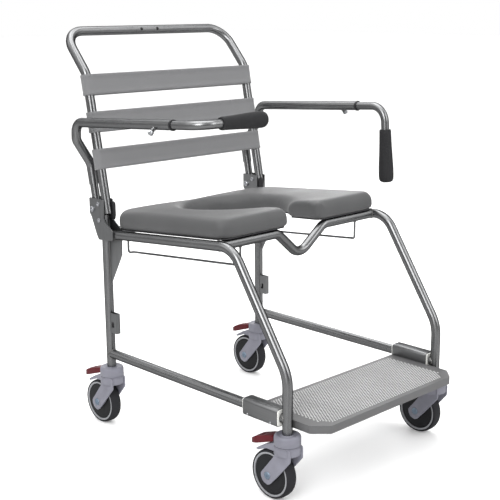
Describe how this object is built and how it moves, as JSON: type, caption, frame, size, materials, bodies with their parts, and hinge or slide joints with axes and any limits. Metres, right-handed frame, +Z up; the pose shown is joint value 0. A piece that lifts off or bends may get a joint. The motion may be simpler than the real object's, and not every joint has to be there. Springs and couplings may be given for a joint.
{
  "type": "commode chair",
  "caption": "Wheeled shower commode chair: tubular steel frame, open-front padded seat, strap backrest, swing-up arms with swivelling front handles, sliding footplate and total-lock castors.",
  "frame": {"origin": "on the floor, under the centre of the whole chair's bounding box", "axes": "+Z up, the sitter faces -Y, +X is the sitter's left"},
  "size_m": [0.7358, 0.9519, 1.108],
  "materials": {
    "steel_tube": "satin, drawn along the tube",
    "bracket_steel": "satin plate",
    "zinc_hardware": "bright plated",
    "black_plastic": "matt moulded",
    "grip_rubber": "matt foam rubber",
    "white_nylon": "satin moulded",
    "strap_webbing": "matt coated webbing",
    "seat_base": "matt board",
    "seat_skin": "soft matt moulded skin",
    "footplate_tread": "studded tread",
    "castor_plastic": "satin moulded",
    "wheel_cover": "satin moulded",
    "tyre_rubber": "matt rubber",
    "pedal_red": "satin moulded"
  },
  "bodies": {
    "frame": {"rear_leg_right": "steel_tube", "side_frame_right": "steel_tube", "lower_rail_right": "steel_tube", "pan_runner_right": "steel_tube", "gusset_right": "bracket_steel", "bracket_outer_right": "bracket_steel", "bracket_inner_right": "bracket_steel", "backrest_saddle_right": "black_plastic", "arm_pin_right": "zinc_hardware", "rear_leg_left": "steel_tube", "side_frame_left": "steel_tube", "lower_rail_left": "steel_tube", "pan_runner_left": "steel_tube", "gusset_left": "bracket_steel", "bracket_outer_left": "bracket_steel", "bracket_inner_left": "bracket_steel", "backrest_saddle_left": "black_plastic", "arm_pin_left": "zinc_hardware", "front_cross_tube": "steel_tube", "rear_cross_tube": "steel_tube", "backrest_hoop": "steel_tube", "back_strap_lower": "strap_webbing", "back_strap_middle": "strap_webbing", "back_strap_upper": "strap_webbing", "castor_cap_front_right": "castor_plastic", "castor_cap_front_left": "castor_plastic", "castor_cap_rear_right": "castor_plastic", "castor_cap_rear_left": "castor_plastic"},
    "seat": {"seat_board": "seat_base", "seat_cushion": "seat_skin"},
    "footplate": {"footplate": "footplate_tread", "slide_sleeve_right": "bracket_steel", "slide_bush_right": "white_nylon", "slide_sleeve_left": "bracket_steel", "slide_bush_left": "white_nylon"},
    "arm_right": {"arm_tube_right": "steel_tube"},
    "handle_right": {"handle_tube_right": "steel_tube", "grip_right": "grip_rubber"},
    "plunger_right": {"plunger_right": "zinc_hardware"},
    "arm_left": {"arm_tube_left": "steel_tube"},
    "handle_left": {"handle_tube_left": "steel_tube", "grip_left": "grip_rubber"},
    "plunger_left": {"plunger_left": "zinc_hardware"},
    "castor_front_right": {"castor_fork_front_right": "castor_plastic"},
    "wheel_front_right": {"wheel_front_right": "wheel_cover", "tyre_front_right": "tyre_rubber"},
    "brake_front_right": {"brake_pedal_front_right": "pedal_red"},
    "castor_front_left": {"castor_fork_front_left": "castor_plastic"},
    "wheel_front_left": {"wheel_front_left": "wheel_cover", "tyre_front_left": "tyre_rubber"},
    "brake_front_left": {"brake_pedal_front_left": "pedal_red"},
    "castor_rear_right": {"castor_fork_rear_right": "castor_plastic"},
    "wheel_rear_right": {"wheel_rear_right": "wheel_cover", "tyre_rear_right": "tyre_rubber"},
    "brake_rear_right": {"brake_pedal_rear_right": "pedal_red"},
    "castor_rear_left": {"castor_fork_rear_left": "castor_plastic"},
    "wheel_rear_left": {"wheel_rear_left": "wheel_cover", "tyre_rear_left": "tyre_rubber"},
    "brake_rear_left": {"brake_pedal_rear_left": "pedal_red"}
  },
  "joints": [
    {"name": "arm_right_swing", "type": "hinge", "parent": "frame", "child": "arm_right", "pos_m": [-0.291, 0.34, 0.625], "axis": [-1, 0, 0], "range_deg": [0, 95]},
    {"name": "handle_right_swivel", "type": "hinge", "parent": "arm_right", "child": "handle_right", "pos_m": [-0.341, -0.148, 0.89215], "axis": [0, 0.9982, -0.0602], "range_deg": [0, 90]},
    {"name": "plunger_right_pull", "type": "slide", "parent": "arm_right", "child": "plunger_right", "axis": [-0.7071, -0.0426, -0.7058], "range_m": [0, 0.004], "stiffness_N_per_m": 500, "springref_m": -0.002},
    {"name": "arm_left_swing", "type": "hinge", "parent": "frame", "child": "arm_left", "pos_m": [0.291, 0.34, 0.625], "axis": [-1, 0, 0], "range_deg": [0, 95]},
    {"name": "handle_left_swivel", "type": "hinge", "parent": "arm_left", "child": "handle_left", "pos_m": [0.341, -0.148, 0.89215], "axis": [0, 0.9982, -0.0602], "range_deg": [0, 90]},
    {"name": "plunger_left_pull", "type": "slide", "parent": "arm_left", "child": "plunger_left", "axis": [0.7071, -0.0426, -0.7058], "range_m": [0, 0.004], "stiffness_N_per_m": 500, "springref_m": -0.002},
    {"name": "footplate_slide", "type": "slide", "parent": "frame", "child": "footplate", "axis": [0, 1, 0], "range_m": [0, 0.28]},
    {"name": "seat_lift_off", "type": "slide", "parent": "frame", "child": "seat", "axis": [0, 0.0865, 0.9963], "range_m": [0, 0.08]},
    {"name": "castor_front_right_swivel", "type": "hinge", "parent": "frame", "child": "castor_front_right", "pos_m": [-0.291, -0.386, 0.15], "axis": [0, 0, 1], "continuous": true},
    {"name": "wheel_front_right_spin", "type": "hinge", "parent": "castor_front_right", "child": "wheel_front_right", "pos_m": [-0.291, -0.341, 0.0625], "axis": [1, 0, 0], "continuous": true},
    {"name": "brake_front_right_press", "type": "hinge", "parent": "castor_front_right", "child": "brake_front_right", "pos_m": [-0.291, -0.346, 0.156], "axis": [-1, 0, 0], "range_deg": [0, 8]},
    {"name": "castor_front_left_swivel", "type": "hinge", "parent": "frame", "child": "castor_front_left", "pos_m": [0.291, -0.386, 0.15], "axis": [0, 0, 1], "continuous": true},
    {"name": "wheel_front_left_spin", "type": "hinge", "parent": "castor_front_left", "child": "wheel_front_left", "pos_m": [0.291, -0.341, 0.0625], "axis": [1, 0, 0], "continuous": true},
    {"name": "brake_front_left_press", "type": "hinge", "parent": "castor_front_left", "child": "brake_front_left", "pos_m": [0.291, -0.346, 0.156], "axis": [-1, 0, 0], "range_deg": [0, 8]},
    {"name": "castor_rear_right_swivel", "type": "hinge", "parent": "frame", "child": "castor_rear_right", "pos_m": [-0.291, 0.304, 0.15], "axis": [0, 0, 1], "continuous": true},
    {"name": "wheel_rear_right_spin", "type": "hinge", "parent": "castor_rear_right", "child": "wheel_rear_right", "pos_m": [-0.291, 0.349, 0.0625], "axis": [1, 0, 0], "continuous": true},
    {"name": "brake_rear_right_press", "type": "hinge", "parent": "castor_rear_right", "child": "brake_rear_right", "pos_m": [-0.291, 0.344, 0.156], "axis": [-1, 0, 0], "range_deg": [0, 8]},
    {"name": "castor_rear_left_swivel", "type": "hinge", "parent": "frame", "child": "castor_rear_left", "pos_m": [0.291, 0.304, 0.15], "axis": [0, 0, 1], "continuous": true},
    {"name": "wheel_rear_left_spin", "type": "hinge", "parent": "castor_rear_left", "child": "wheel_rear_left", "pos_m": [0.291, 0.349, 0.0625], "axis": [1, 0, 0], "continuous": true},
    {"name": "brake_rear_left_press", "type": "hinge", "parent": "castor_rear_left", "child": "brake_rear_left", "pos_m": [0.291, 0.344, 0.156], "axis": [-1, 0, 0], "range_deg": [0, 8]}
  ]
}
